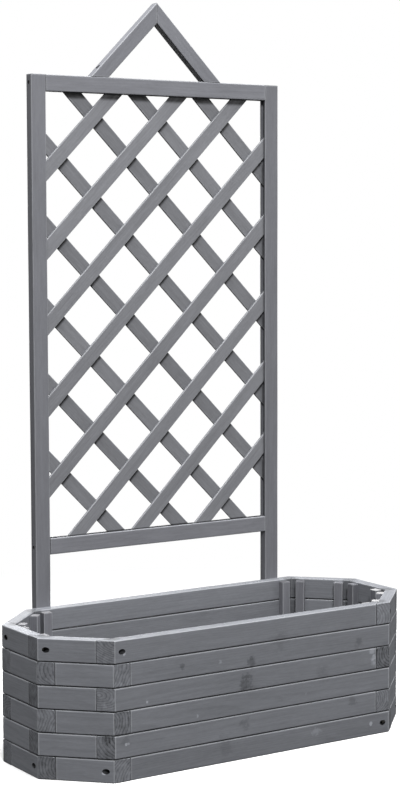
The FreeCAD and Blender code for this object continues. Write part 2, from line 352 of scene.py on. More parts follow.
def joint_dirt_and_shade(board):
    """1 where a board meets its neighbour, falling to 0 within a few millimetres. Stain gathers dark along
    butted ends; under a course's lower edge and just below a slat that lies over another, this is painted
    shade."""
    along, across, outward = board.measured(board.points)
    from_start = along - board.start(across, outward)
    from_end = board.end(across, outward) - along
    dirt_and_shade = np.zeros(len(along))
    for tight, distance in ((board.tight_start, from_start), (board.tight_end, from_end)):
        if tight:
            dirt_and_shade = np.maximum(dirt_and_shade, DIRT_AND_SHADE_DEPTH * (1 - distance / DIRT_REACH))
    # Painted shade along the lower edge, over the gap under the board.
    if board.shaded_foot:
        dirt_and_shade = np.maximum(dirt_and_shade, DIRT_AND_SHADE_DEPTH * (0.9 - (across + board.width / 2) / board.radius))
    # Painted shadow that a rising slat casts on a falling slat, just below its edge.
    for edge in board.shaded:
        after = (along - edge) / SHADE_REACH
        dirt_and_shade = np.maximum(dirt_and_shade, np.where(after > -0.1, DIRT_AND_SHADE_DEPTH * (1 - after), 0))
    return np.clip(dirt_and_shade, 0, 1)


def make_piece(name, boards, slot_name, node):
    """Joins boards into one object, gives it the wood's attributes, and puts it in the node's place."""
    points, faces, grain = [], [], []
    numbers, flags = {}, {}
    first = 0
    for board in boards:
        along, across, outward = board.measured(board.points)
        points.append(board.points)
        faces += [[first + index for index in face] for face in board.faces]
        grain.append(np.stack([along, across, outward], 1) - board.pith)
        for kind, value in (("wear_and_highlight", edge_wear_and_highlight(board)), ("tone", board.tone), ("painted_light", board.painted_light),
                            ("dirt_and_shade", joint_dirt_and_shade(board)), ("bare", board.bare), ("soak", board.soak)):
            numbers.setdefault(kind, []).append(np.broadcast_to(value, len(along)))
        first += len(along)
    mesh = bpy.data.meshes.new(name)
    mesh.from_pydata(np.vstack(points).tolist(), [], faces)
    count = 0
    normals = per_face(mesh, "normal")
    centres = per_face(mesh, "center")
    for board in boards:
        part = slice(count, count + len(board.faces))
        depth = np.min(board.depths(centres[part]), axis=0)
        for kind, found in (("end_grain", np.abs(normals[part] @ board.run) > END_GRAIN_LIMIT),
                            ("hollow", depth > HOLLOW_FROM), ("under", normals[part, 2] < UNDERSIDE_LIMIT)):
            flags.setdefault(kind, []).append(found.astype(float))
        count += len(board.faces)
    store(mesh, "grain", "FLOAT_VECTOR", "POINT", np.vstack(grain))
    for domain, gathered in (("POINT", numbers), ("FACE", flags)):
        for kind, values in gathered.items():
            store(mesh, kind, "FLOAT", domain, np.concatenate(values))
    mesh.set_sharp_from_angle(angle=SHARP_ANGLE)
    mesh.polygons.foreach_set("use_smooth", np.concatenate(flags["end_grain"]) == 0)
    place_piece(mesh, slot_name, node)


def place_piece(mesh, slot_name, node):
    """Makes the object of a finished mesh, which takes the node's place and rides with its body."""
    piece = new_object(mesh.name, mesh)
    mesh.materials.append(materials[slot_name])
    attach(piece, "root")
    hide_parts(node)


def per_face(mesh, what):
    """A vector of every face of a mesh, such as its normal."""
    values = np.empty(len(mesh.polygons) * 3)
    mesh.polygons.foreach_get(what, values)
    return values.reshape(-1, 3)


def store(mesh, name, kind, domain, values):
    """Writes an array into a named attribute of a mesh."""
    layer = mesh.attributes.new(name, kind, domain)
    layer.data.foreach_set("vector" if kind == "FLOAT_VECTOR" else "value", values.ravel())


print("edge wear reaches %.1f mm" % (WEAR_REACH / MM))

# %% [markdown]
# ## Shader maths as Python
# Wiring nodes by hand hides what a material does. A small class wraps a socket, so that mask * 2 + 0.1 adds
# the Math nodes by itself and the recipe below reads like a formula.


# %% Sockets with operators
class Socket:
    """A value in a material's node tree that can be used in Python expressions."""

    def __init__(self, recipe, socket):
        self.recipe = recipe
        self.socket = socket

    def maths(self, operation, *values):
        return self.recipe.add("ShaderNodeMath", dict(operation=operation), *values)

    def __add__(self, other):
        return self.maths("ADD", self, other)

    def __radd__(self, other):
        return self.maths("ADD", other, self)

    def __sub__(self, other):
        return self.maths("SUBTRACT", self, other)

    def __rsub__(self, other):
        return self.maths("SUBTRACT", other, self)

    def __mul__(self, other):
        return self.maths("MULTIPLY", self, other)

    def __rmul__(self, other):
        return self.maths("MULTIPLY", other, self)

    def __truediv__(self, other):
        return self.maths("DIVIDE", self, other)

    def __pow__(self, other):
        return self.maths("POWER", self, other)

    def maximum(self, other):
        return self.maths("MAXIMUM", self, other)

    def absolute(self):
        return self.maths("ABSOLUTE", self)

    def fraction(self):
        return self.maths("FRACT", self)

    def step(self, low, high):
        """0 below low, 1 above high and a smooth slope between."""
        settings = dict(interpolation_type="SMOOTHSTEP")
        return self.recipe.add("ShaderNodeMapRange", settings, self, low, high, 0, 1)


class Recipe:
    """A material's node tree, with one method that adds any node."""

    def __init__(self, name):
        self.material = bpy.data.materials.new(name)
        self.material.use_nodes = True
        self.tree = self.material.node_tree
        self.tree.nodes.clear()

    def add(self, kind, settings, *values, out=0, **named):
        """Adds a node: settings first, then values or links by position or by name."""
        node = self.tree.nodes.new(kind)
        for key, value in settings.items():
            setattr(node, key, value)
        slots = [(node.inputs[index], value) for index, value in enumerate(values)]
        slots += [(node.inputs[key.replace("_", " ")], value) for key, value in named.items()]
        for target, value in slots:
            if value is None:
                continue
            if isinstance(value, Socket):
                self.tree.links.new(value.socket, target)
            else:
                target.default_value = value
        return Socket(self, node.outputs[out]) if node.outputs else None

    def attribute(self, name, out="Fac"):
        return self.add("ShaderNodeAttribute", dict(attribute_name=name), out=out)

    def mix(self, amount, first, second):
        """Mixes two colours by an amount."""
        node = self.tree.nodes.new("ShaderNodeMix")
        node.data_type = "RGBA"
        for index, value in ((0, amount), (6, first), (7, second)):
            if isinstance(value, Socket):
                self.tree.links.new(value.socket, node.inputs[index])
            else:
                node.inputs[index].default_value = value
        return Socket(self, node.outputs[2])

    def split(self, vector):
        """The three parts of a vector."""
        outputs = self.add("ShaderNodeSeparateXYZ", {}, vector).socket.node.outputs
        return [Socket(self, output) for output in outputs]

    def scaled(self, vector, x, y, z):
        """A vector with each part multiplied by its own number."""
        return self.add("ShaderNodeVectorMath", dict(operation="MULTIPLY"), vector, (x, y, z))

    def noise(self, vector, scale=1.0, detail=2, rough=0.5):
        return self.add("ShaderNodeTexNoise", dict(noise_dimensions="3D"),
                        Vector=vector, Scale=scale, Detail=detail, Roughness=rough)

    def finish(self, color, roughness, height=None, bump=0.2, distance=MM, **fixed):
        """Closes the recipe with a Principled shader."""
        normal = None
        if height is not None:
            normal = self.add("ShaderNodeBump", {}, Strength=bump, Distance=distance, Height=height)
        shader = self.add("ShaderNodeBsdfPrincipled", {}, Base_Color=color, Roughness=roughness,
                          Normal=normal, **fixed)
        self.add("ShaderNodeOutputMaterial", {}, Surface=shader)
        return self.material


def grey(value):
    """A neutral colour as written in a paint program, turned into the renderer's light units."""
    return shade(value, value, value)


def shade(red, green, blue):
    """A colour on the 0 to 255 scale of a paint program, turned into the renderer's light units."""
    parts = []
    for value in (red, green, blue):
        value = value / 255
        parts.append(value / 12.92 if value <= 0.04045 else ((value + 0.055) / 1.055) ** 2.4)
    return (*parts, 1.0)


# %% [markdown]
# ## Stained softwood
# The stain is a slate grey that hides the wood's colour but not its figure. The recipe imagines a log:
# rings round a pith, bent by slow noise and pushed aside by knots. On a long face the rings show as streaks
# and arches, and on an end as arcs, with no picture needed. Fine fibres run lengthwise, the edges are pale,
# partly rubbed and partly a painted highlight, and end grain drinks more stain and turns darker. Painted shade
# darkens hollows, undersides, grooves, corners and the wood along joints, and some boards are painted lighter
# or darker as the light falls on them.

# %% Wood recipe
# How much of the light each thing takes away: knots are darker wood, the shade in hollows and on
# undersides is painted, and along joints stain and painted shade darken the wood together.
KNOT_SHADE = 0.28
HOLLOW_SHADE = 0.88
GRIME_AND_SHADE_DARKNESS = 0.93
UNDER_SHADE = 0.6
# The log: the rings' spacing, and how far slow noise, fine noise and knots push them.
RING_PITCH = 5.2 * MM
RING_BEND = 30 * MM
RING_RIPPLE = 3 * MM
KNOT_PUSH = 10 * MM
GRAIN_RELIEF = 0.6 * MM
# Pale colours: edges that are partly worn and partly painted highlight, and bare end grain.
WORN_AND_LIT_COLOR = shade(176, 178, 182)
BARE_COLOR = shade(205, 204, 203)


def knots(r, grain):
    """The knots, and the wider patches round them. They sit in a few cells of a stretched pattern."""
    space = r.scaled(grain, 5.0, 17.0, 9.0)
    cells = dict(Vector=space, Scale=1.0, Randomness=0.9)
    from_middle = r.add("ShaderNodeTexVoronoi", dict(feature="F1"), **cells)
    tint = r.add("ShaderNodeTexVoronoi", dict(feature="F1"), out="Color", **cells)
    chosen = r.add("ShaderNodeSeparateColor", {}, tint).step(0.80, 0.82)
    return (1 - from_middle.step(0.05, 0.22)) * chosen, (1 - from_middle.step(0.05, 0.55)) * chosen


def late_wood_of(r, grain, around):
    """1 in the dark late wood of each ring. The distance from the pith gives the ring."""
    _, across, outward = r.split(grain)
    bend = r.noise(r.scaled(grain, 1.6, 12.0, 12.0))
    ripple = r.noise(r.scaled(grain, 9.0, 60.0, 60.0), detail=3)
    radius = (across * across + outward * outward) ** 0.5
    radius = radius + (bend - 0.5) * RING_BEND + (ripple - 0.5) * RING_RIPPLE + around * KNOT_PUSH
    phase = (radius / RING_PITCH).fraction()
    return phase.step(0.35, 0.95) * (1 - phase.step(0.95, 1.0))


def stained_wood(name, stain, streak=0.10, rings=0.10, roughness=0.55, bump=0.25, marks=(), worn_and_lit_share=0.4,
                 end_shade=0.13, joints=None):
    """The finish. Each noise is stretched along the grain: its three numbers are the detail per metre
    along, across and through the board. A figure of more than 0 darkens the stain."""
    r = Recipe(name)
    grain = r.attribute("grain", out="Vector")
    tone, wear_and_highlight, ends, hollow, painted_light, dirt_and_shade, bare, soak, under = [
        r.attribute(kind) for kind in ("tone", "wear_and_highlight", "end_grain", "hollow", "painted_light", "dirt_and_shade", "bare",
                                       "soak", "under")]
    knot, around = knots(r, grain)
    late_wood = late_wood_of(r, grain, around)
    streaks = r.noise(r.scaled(grain, 3.0, 130.0, 130.0), detail=4, rough=0.6)
    fibre = r.noise(r.scaled(grain, 30.0, 900.0, 900.0), detail=3, rough=0.6)
    cloud = r.noise(r.scaled(grain, 4.0, 14.0, 14.0))
    flecks = r.noise(r.scaled(grain, 70.0, 420.0, 420.0), detail=3, rough=0.7)
    blots = r.noise(r.scaled(grain, 60.0, 70.0, 140.0), detail=3, rough=0.6)
    smudge = r.noise(r.scaled(grain, 14.0, 90.0, 90.0), detail=3, rough=0.6)
    figure = (streaks - 0.5) * streak * 2.4 + (late_wood - 0.4) * rings * (0.7 + ends * 3.0)
    figure = figure + (cloud - 0.5) * 0.22 + (tone - 0.5) * (ends + 0.4) * 0.26 + (fibre - 0.5) * 0.16
    figure = figure + (smudge - 0.5) * 0.34 + (blots - 0.5) * ends * 1.3 + (flecks - 0.5) * streak * 3.4
    light = 1 - figure - ends * (soak + end_shade) - knot * KNOT_SHADE

    place = r.add("ShaderNodeTexCoord", {}, out="Object")
    ragged = r.noise(r.scaled(place, 70.0, 70.0, 70.0), detail=3, rough=0.7) if marks else None
    for centre, size, strength in marks:
        away = r.add("ShaderNodeVectorMath", dict(operation="DISTANCE"), place, centre, out="Value")
        blur = away + (smudge - 0.5) * size * 1.6 + (ragged - 0.5) * size * 2.6
        light = light - (1 - blur.step(0.25 * size, size)) * strength
    # Stain at joints together with painted shade: from the board's own points, and the painted shade of
    # grooves, course feet and inner corners.
    dirt_and_shade = dirt_and_shade * (1 - ends)
    if joints is not None:
        dirt_and_shade = dirt_and_shade.maximum(joints(r, place))
    grime_and_shade = dirt_and_shade * (0.95 + (streaks - 0.5) * 0.5)
    # Painted light and shade: each board's long faces are drawn lighter or darker, and hollows such as the
    # pockets get painted shade.
    light = light * (painted_light + (1 - painted_light) * ends) * (1 - hollow * HOLLOW_SHADE)
    # Painted shade along joints, grooves and corners, and on undersides.
    light = light * (1 - grime_and_shade * GRIME_AND_SHADE_DARKNESS) * (1 - under * UNDER_SHADE)
    base = r.add("ShaderNodeVectorMath", dict(operation="SCALE"), stain[:3], Scale=light)

    rub = r.noise(r.scaled(grain, 18.0, 220.0, 220.0), detail=3, rough=0.65)
    long_rub = r.noise(r.scaled(grain, 5.0, 30.0, 30.0))
    # Pale edges, partly rubbed wood and partly a painted highlight, left off undersides and painted shade.
    worn_and_lit = (wear_and_highlight * (0.35 + long_rub * 0.9) - (1 - rub) * 0.62).step(0.0, 0.35) * (1 - ends)
    color = r.mix(worn_and_lit * (1 - dirt_and_shade) * (1 - under) * worn_and_lit_share, base, WORN_AND_LIT_COLOR)
    color = r.mix(bare * ends * (1 - hollow), color, BARE_COLOR)
    height = streaks * 0.5 + late_wood * 0.35 + fibre * 0.35 - knot * 0.3
    rough = roughness + (fibre - 0.5) * 0.25 + ends * 0.15 + late_wood * 0.05
    return r.finish(color, rough, height, bump, GRAIN_RELIEF, Specular_IOR_Level=0.3)


def mark(x, height, size, strength):
    """A knot or a chip at one spot of the front wall, in millimetres. A chip has a negative strength."""
    return (x * MM, front_y, height * MM), size * MM, strength


front_marks = [mark(*row) for row in (
    (-32, 178, 22, 0.42), (-18, 220, 15, 0.40), (-204, 236, 10, 0.34),
    (-38, 80, 18, 0.24), (270, 90, 14, 0.28), (284, 228, 13, 0.28), (60, 262, 30, 0.14),
    (-90, 40, 26, 0.16), (180, 168, 24, 0.14), (-297, 167, 6.5, -1.5),
    (-350, 81, 4.2, -1.2), (-343, 82, 3.6, -0.8), (-352, 90, 18, 0.2),
    (324, 26, 5.0, -1.0), (-103, 231, 6.5, -0.7), (-164, 118, 4.5, -0.7),
    (133, 126, 4.5, -0.7), (162, 34, 14, -0.35), (326, 200, 11, -0.7),
    (331, 187, 10, -0.6), (332, 174, 10, -0.6))]
# The first entry is a painted glint: the screw head catching light in the lowest pocket at the front left
# corner.
front_marks += [((-face_x - 17 * MM, front_y + 17 * MM, 21 * MM), 4.5 * MM, -1.8),
                ((-face_x - 11 * MM, front_y + 11 * MM, 96 * MM), 17 * MM, 0.4),
                ((-face_x - 8 * MM, front_y + 8 * MM, 62 * MM), 12 * MM, 0.3),
                ((-face_x + 24.5 * MM, front_y, 281 * MM), 4 * MM, -1.0)]


def plank_shade(r, place):
    """Painted shade, darker than the lamps leave it: along the foot of each plank's end, above the gap, and
    in the box's inner corners, between two battens. The box is folded onto one quarter, which has two corners."""
    x, y, z = r.split(place)
    above = (z / course_pitch).fraction() * course_pitch
    darkest = (1 - above.step(0.2 * FOOT_SHADE, FOOT_SHADE)) * r.attribute("end_grain")
    side, behind = x.absolute(), (y - middle_y).absolute()
    for corner_x, corner_y in inner_corners:
        away = ((side - corner_x) * (side - corner_x) + (behind - corner_y) * (behind - corner_y)) ** 0.5
        darkest = darkest.maximum((1 - away.step(0.5 * CORNER_SHADE, CORNER_SHADE)) * CORNER_STRENGTH)
    return darkest


FOOT_SHADE = 3.0 * MM
CORNER_SHADE = 24.0 * MM
CORNER_STRENGTH = 0.45
inner_bevel = plank_depth * math.tan(math.pi / 8)
half_y = (back_y - front_y) / 2
inner_corners = [(face_x - inner_bevel, half_y - plank_depth),
                 (end_x - plank_depth, half_y - corner_cut - inner_bevel)]
course_pitch = box("front_plank_1")[0][2] - box("front_plank_2")[0][2]
materials["plank_wood"] = stained_wood("plank_wood", shade(110, 112, 117), marks=front_marks,
                                       joints=plank_shade)
materials["batten_wood"] = stained_wood("batten_wood", shade(118, 119, 125), end_shade=0.4)
materials["frame_wood"] = stained_wood("frame_wood", shade(107, 108, 113), streak=0.07, rings=0.05,
                                       worn_and_lit_share=0.3)


def groove_shade(r, place):
    """1 where a slat leaves the frame's groove, fading out within a few millimetres of it: painted shade that
    stands in for the shadow of the rails and posts.
    """
    x, _, z = r.split(place)
    above = z.step(top_rail_low - GROOVE_SHADE_TOP, top_rail_low - GROOVE_SHADE_TOP / 2)
    below = 1 - z.step(lower_rail_high + MM, lower_rail_high + GROOVE_SHADE)
    beside = x.absolute().step(opening_x - GROOVE_SHADE, opening_x - MM)
    return above.maximum(below.maximum(beside * SIDE_SHARE))


GROOVE_SHADE = 4.0 * MM
GROOVE_SHADE_TOP = 18.0 * MM
SIDE_SHARE = 0.6
lower_rail_high = box("lower_rail")[1][2]
top_rail_low = box("top_rail")[0][2]
materials["slat_wood"] = stained_wood("slat_wood", shade(112, 113, 117), streak=0.12, rings=0.08,
                                      worn_and_lit_share=0.4, joints=groove_shade)
materials["floor_wood"] = stained_wood("floor_wood", shade(112, 111, 110), streak=0.14, rings=0.10)
print("wood finishes:", ", ".join(materials))

# %% [markdown]
# ## Screws
# The screws are zinc plated and dulled by the stain that ran into their pockets, so their steel is rough and
# spotted.

# %% Screw steel
def dull_steel(name):
    r = Recipe(name)
    place = r.add("ShaderNodeTexCoord", {}, out="Object")
    spots = r.noise(place, 900.0, 3, 0.6)
    patches = r.noise(place, 240.0, 2)
    color = r.mix(spots.step(0.45, 0.65), shade(150, 148, 143), shade(104, 100, 95))
    rough = 0.38 + patches * 0.25
    return r.finish(color, rough, spots, 0.15, 0.1 * MM, Metallic=0.9)


materials["screw_steel"] = dull_steel("screw_steel")
print("screw finish ready")

# %% [markdown]
# ## The eight walls
# Each wall is described by its start corner, its direction and the way outwards, going round anticlockwise.
# In the odd courses a plank runs through at its start corner and butts at its end, and in the even courses
# the other way round, so the laps climb each corner like the fingers of two hands.

# %% Walls
wall_names = ["front", "right_front", "right_end", "right_back",
              "back", "left_back", "left_end", "left_front"]


def plan(x, y):
    return np.array([x, y, 0.0])


corners = [plan(-face_x, front_y), plan(face_x, front_y),
           plan(end_x, front_y + corner_cut), plan(end_x, back_y - corner_cut),
           plan(face_x, back_y), plan(-face_x, back_y),
           plan(-end_x, back_y - corner_cut), plan(-end_x, front_y + corner_cut)]


def wall_line(index):
    """Start corner, length, direction and inward direction of a wall."""
    start, end = corners[index % 8], corners[(index + 1) % 8]
    length = np.linalg.norm(end - start)
    direction = (end - start) / length
    return start, length, direction, np.cross(UP, direction)


def cut_station(index, depth, other, other_depth):
    """How far along a wall, at one depth inside it, it meets another wall's plane at its own depth."""
    start, _, direction, inward = wall_line(index)
    other_start, _, _, other_inward = wall_line(other)
    point = start + inward * depth
    reach = (other_start + other_inward * other_depth - point) @ other_inward
    return reach / (direction @ other_inward)


def end_plane(index, other, other_depth):
    """The end of a board in a wall's middle plane, cut by another wall's plane at a depth."""
    outer = cut_station(index, 0, other, other_depth)
    inner = cut_station(index, plank_depth, other, other_depth)
    middle, slope = (outer + inner) / 2, (outer - inner) / plank_depth
    return lambda across, outward: middle + slope * outward


def inner_span(index, margin):
    """Where a wall's inner face starts and ends along the wall, less a margin at both ends."""
    return (cut_station(index, plank_depth, index - 1, plank_depth) + margin,
            cut_station(index, plank_depth, index + 1, plank_depth) - margin)


print("wall lengths:", [round(wall_line(index)[1] / MM) for index in range(8)])

# %% [markdown]
# ## Pocket holes
# At every corner one screw in the top course and one in the bottom course go slantwise through the plank
# that runs through, and along the middle of the plank that butts against it. The mouth of such a pocket is
# an ellipse on the face.

# %% Corner pockets
POCKET_RADIUS = 6.0 * MM
POCKET_DEPTH = 17.0 * MM
PLANK_RADIUS = 2.1 * MM


def corner_bore(index, course):
    """The bore at a wall's start corner: the wall that runs through there, its mouth and its direction."""
    odd = course % 2 == 1
    through, butted = (index, index - 1) if odd else (index - 1, index)
    start, _, direction, _ = wall_line(through)
    bore = wall_line(butted)[2] * (-1 if odd else 1)
    station = cut_station(through, 0, butted, plank_depth / 2)
    mouth = start + direction * station + UP * (course_bottoms[course - 1] + plank_width / 2)
    return through % 8, mouth, bore


pockets = {}
corner_seats = []
for course in (1, 6):
    for index in range(8):
        through, mouth, bore = corner_bore(index, course)
        rod = rod_mesh(mouth - bore * 2 * POCKET_RADIUS, bore, POCKET_RADIUS,
                       2 * POCKET_RADIUS + POCKET_DEPTH)
        pockets.setdefault((through, course), []).append(rod)
        corner_seats.append((mouth + bore * POCKET_DEPTH, bore))
print("pockets in", len(pockets), "planks")

# %% [markdown]
# ## Planks
# Forty-eight planks, cut by the planes of their neighbours, with the pockets drilled where there are screws.

# %% Build the planks
random = np.random.default_rng(7)
end_soak = {("right_front", 1): -0.02, ("right_front", 3): 0.32, ("right_front", 5): -0.04,
            ("front", 1): 0.05, ("front", 3): -0.15, ("front", 5): 0.17,
            ("left_front", 2): 0.02, ("left_front", 4): 0.12, ("left_front", 6): 0.03,
            ("left_end", 2): -0.10, ("left_end", 4): -0.12, ("left_end", 6): -0.03}
# Painted light: the long faces of these walls are drawn lighter than the lamps leave them.
wall_painted_light = {"back": 1.07, "right_end": 1.12, "right_back": 1.08, "left_front": 1.18, "left_end": 1.36}


def plank(index, course):
    """One plank of a wall, cut by the planes of its neighbours. A few walls get painted light or shade on
    their long faces.
    """
    start, _, direction, inward = wall_line(index)
    through = 0 if course % 2 == 1 else plank_depth
    middle = start + inward * plank_depth / 2 + UP * (course_bottoms[course - 1] + plank_width / 2)
    board = Board(middle, direction, UP, plank_width, plank_depth, PLANK_RADIUS, random)
    board.painted_light = wall_painted_light.get(wall_names[index], 1.0)
    board.soak = end_soak.get((wall_names[index], course), 0.0)
    board.tight_start, board.tight_end = through > 0, through == 0
    # Every plank gets painted shade along its lower edge, over the gap below it.
    board.shaded_foot = True
    board.surface(end_plane(index, index - 1, through), end_plane(index, index + 1, plank_depth - through))
    if (index, course) in pockets:
        cut(board, pockets[index, course])
    return board


for index, name in enumerate(wall_names):
    planks = [plank(index, course) for course in range(1, 7)]
    if name in ("front", "back"):
        for course, board in enumerate(planks, start=1):
            make_piece("%s_board_%d" % (name, course), [board], "plank_wood", "%s_plank_%d" % (name, course))
    else:
        make_piece("%s_boards" % name, planks, "plank_wood", "%s_planks" % name)
print("planks built")

# %% [markdown]
# ## Battens
# Two battens stand inside every wall and hold its planks together. They are sawn from the same wood, with
# their end grain showing pale just under the rim.

# %% Build the battens
batten_low, batten_high = box("front_battens")
batten_depth = batten_high[1] - batten_low[1]
BATTEN_WIDTH = 22.0 * MM
BATTEN_SETBACK = 15.0 * MM
SAWN_RADIUS = 1.2 * MM
# The battens on the left get painted shade, drawn darker than the lamps leave them.
LEFT_PAINTED_LIGHT = 0.86
LEFT_BARE = 0.15
FRONT_BARE = 0.4


def batten_bare(middle):
    """How bare a batten's top is: the ones at the right back took stain, those on the left some of it."""
    if middle[0] < 0:
        return LEFT_BARE
    return FRONT_BARE if middle[1] < 0 else 0.0


# Painted shade: the battens at the back, the right back and the right end are drawn darker, the right end
# most.
batten_painted_light = {"back": 0.94, "right_back": 0.80, "right_end": 0.62}


def wall_battens(index):
    """The two battens of a wall, set back from the inner corners along the wall."""
    start, _, direction, inward = wall_line(index)
    pair = []
    for station in inner_span(index, BATTEN_SETBACK + BATTEN_WIDTH / 2):
        middle = start + direction * station + inward * (plank_depth + batten_depth / 2)
        board = Board(middle, UP, direction, BATTEN_WIDTH, batten_depth, SAWN_RADIUS, random)
        board.bare = batten_bare(middle)
        board.painted_light = LEFT_PAINTED_LIGHT if middle[0] < 0 else batten_painted_light.get(wall_names[index], 1.0)
        pair.append(board.surface(level(batten_low[2]), level(batten_high[2]), 8))
    return pair


for index, name in enumerate(wall_names):
    make_piece("%s_uprights" % name, wall_battens(index), "batten_wood", "%s_battens" % name)
print("battens built")

# %% [markdown]
# ## Trellis frame
# Two posts and two rails of planed wood. A groove runs round the inside of the opening for the slats' ends.
# It is cut in one go with the same box for all four members.

# %% Build the frame
rail_low, rail_high = box("lower_rail")
top_low, top_high = box("top_rail")
FRAME_RADIUS = 2.0 * MM
GROOVE_DEPTH = 9.0 * MM
SLAT_FIT = 0.3 * MM
slat_depth = slat_high[1] - slat_low[1]
groove_width = 2 * (slat_depth + SLAT_FIT)
groove = box_mesh((-opening_x - GROOVE_DEPTH, post_y - groove_width / 2, rail_high[2] - GROOVE_DEPTH),
                  (opening_x + GROOVE_DEPTH, post_y + groove_width / 2, top_low[2] + GROOVE_DEPTH))
SLIM_RADIUS = 4.5 * MM
SLIM_DEPTH = 4.5 * MM
OUTSIDE = 10 * MM
JOINT_GAP = 0.4 * MM
# Painted light: the rails, the gable bars and the rising slats are drawn lighter than the lamps leave them.
RAIL_PAINTED_LIGHT = 1.13
GABLE_PAINTED_LIGHT = {"gable_left_bar": 1.1, "gable_right_bar": 1.06}
RISING_PAINTED_LIGHT = 1.08


def slim_pocket(mouth, direction, depth=SLIM_DEPTH):
    """A small counterbore for a frame screw."""
    direction = np.array(direction, float)
    return rod_mesh(np.array(mouth) - direction * OUTSIDE, direction, SLIM_RADIUS, OUTSIDE + depth, 24)


rail_heights = [(rail_low[2] + rail_high[2]) / 2, (top_low[2] + top_high[2]) / 2]
frame_seats, back_seats, gable_seats = [], [], []


def bored(mouths, direction, seats, depth=SLIM_DEPTH):
    """Pockets at several mouths. It also notes where their screws sit."""
    seats += [(np.array(mouth) + np.array(direction) * depth, np.array(direction, float)) for mouth in mouths]
    return [slim_pocket(mouth, direction, depth) for mouth in mouths]


for side, name in ((-1, "left_post"), (1, "right_post")):
    middle_x = side * (trellis_x - post_width / 2)
    board = Board((middle_x, post_y, 0), (0, 0, 1), (1, 0, 0), post_width, post_depth, FRAME_RADIUS, random)
    board.surface(level(0.0), level(post_high[2]), 40)
    side_mouths = [(side * trellis_x, post_y, height) for height in rail_heights]
    back_mouths = [(middle_x, post_high[1], course_bottoms[course] + plank_width / 2) for course in (0, 2, 4)]
    cutters = [groove] + bored(side_mouths, (-side, 0, 0), frame_seats)
    cutters += bored(back_mouths, (0, -1, 0), back_seats)
    make_piece(name + "_timber", [cut(board, cutters)], "frame_wood", name)

gable_low, gable_high = box("gable_left_bar")
gable_x = gable_high[0]
gable_span = gable_x - gable_low[0]
gable_depth = gable_high[1] - gable_low[1]
GABLE_WIDTH = 34.0 * MM
GABLE_POCKET = 12.0 * MM
foot = GABLE_WIDTH * math.sqrt(2)


def gable_pocket(side):
    """The upright pocket through the middle of a gable bar's foot."""
    mouth = (gable_x + side * (gable_span - foot / 2), post_y, post_high[2] + foot / 2)
    return bored([mouth], (0, 0, -1), gable_seats, GABLE_POCKET)


for name, low, high in (("lower_rail", rail_low, rail_high), ("top_rail", top_low, top_high)):
    middle = (0, post_y, (low[2] + high[2]) / 2)
    board = Board(middle, (1, 0, 0), (0, 0, 1), high[2] - low[2], post_depth, FRAME_RADIUS, random)
    board.tight_start = board.tight_end = True
    board.painted_light = RAIL_PAINTED_LIGHT
    board.surface(level(low[0] + JOINT_GAP), level(high[0] - JOINT_GAP), 24)
    make_piece(name + "_timber", [cut(board, [groove])], "frame_wood", name)
print("frame built")

# %% [markdown]
# ## Gable
# Each bar rises at 45 degrees. Its foot is cut level and its top upright, so both ends are slanted planes:
# the run's start and end change with the distance across the bar, once one way and once the other.

# %% Build the gable
for side, name in ((-1, "gable_left_bar"), (1, "gable_right_bar")):
    run = np.array([-side, 0, 1.0]) / math.sqrt(2)
    across = np.array([side, 0, 1.0]) / math.sqrt(2)
    outer_foot = np.array([gable_x + side * gable_span, post_y, post_high[2]])
    origin = outer_foot - across * GABLE_WIDTH / 2
    board = Board(origin, run, across, GABLE_WIDTH, gable_depth, FRAME_RADIUS, random)
    board.tight_start = board.tight_end = True
    board.painted_light = GABLE_PAINTED_LIGHT[name]
    half = GABLE_WIDTH / 2
    length = gable_span * math.sqrt(2)
    board.surface(lambda a, o: half - a, lambda a, o: length - half + a, 16)
    make_piece(name + "_timber", [cut(board, gable_pocket(side))], "frame_wood", name)
print("gable built")

# %% [markdown]
# ## Lattice
# Eight slats rise to the right in front and eight fall behind them, all at 45 degrees. A slat's end is
# hidden in the groove, where it is cut by the opening's sides: whichever side comes first along the run.

# %% Build the slats
SLAT_WIDTH = 34.0 * MM
SLAT_RADIUS = 1.1 * MM
SLAT_COUNT = 8
SLAT_REACH = GROOVE_DEPTH - 1.0 * MM
SLAT_OUTWARD_SHIFTS = (2.0 * MM, 7.0 * MM, 1.0 * MM, -1.0 * MM)
FALLING_SHIFT = 2.0 * MM
opening_low, opening_high = rail_high[2], top_low[2]
opening_middle = (opening_low + opening_high) / 2
slat_step = (2 * opening_x + opening_high - opening_low) / (SLAT_COUNT + 1)
half_wide = opening_x + SLAT_REACH
half_high = (opening_high - opening_low) / 2 + SLAT_REACH


def slat_offset(number, rise):
    """How far over the opening's middle a slat's middle line crosses the opening's upright middle line."""
    from_middle = number - (SLAT_COUNT + 1) / 2
    shift = math.copysign(1, from_middle) * SLAT_OUTWARD_SHIFTS[int(abs(from_middle))]
    if rise < 0:
        shift += FALLING_SHIFT
    return from_middle * slat_step + shift * math.sqrt(2)


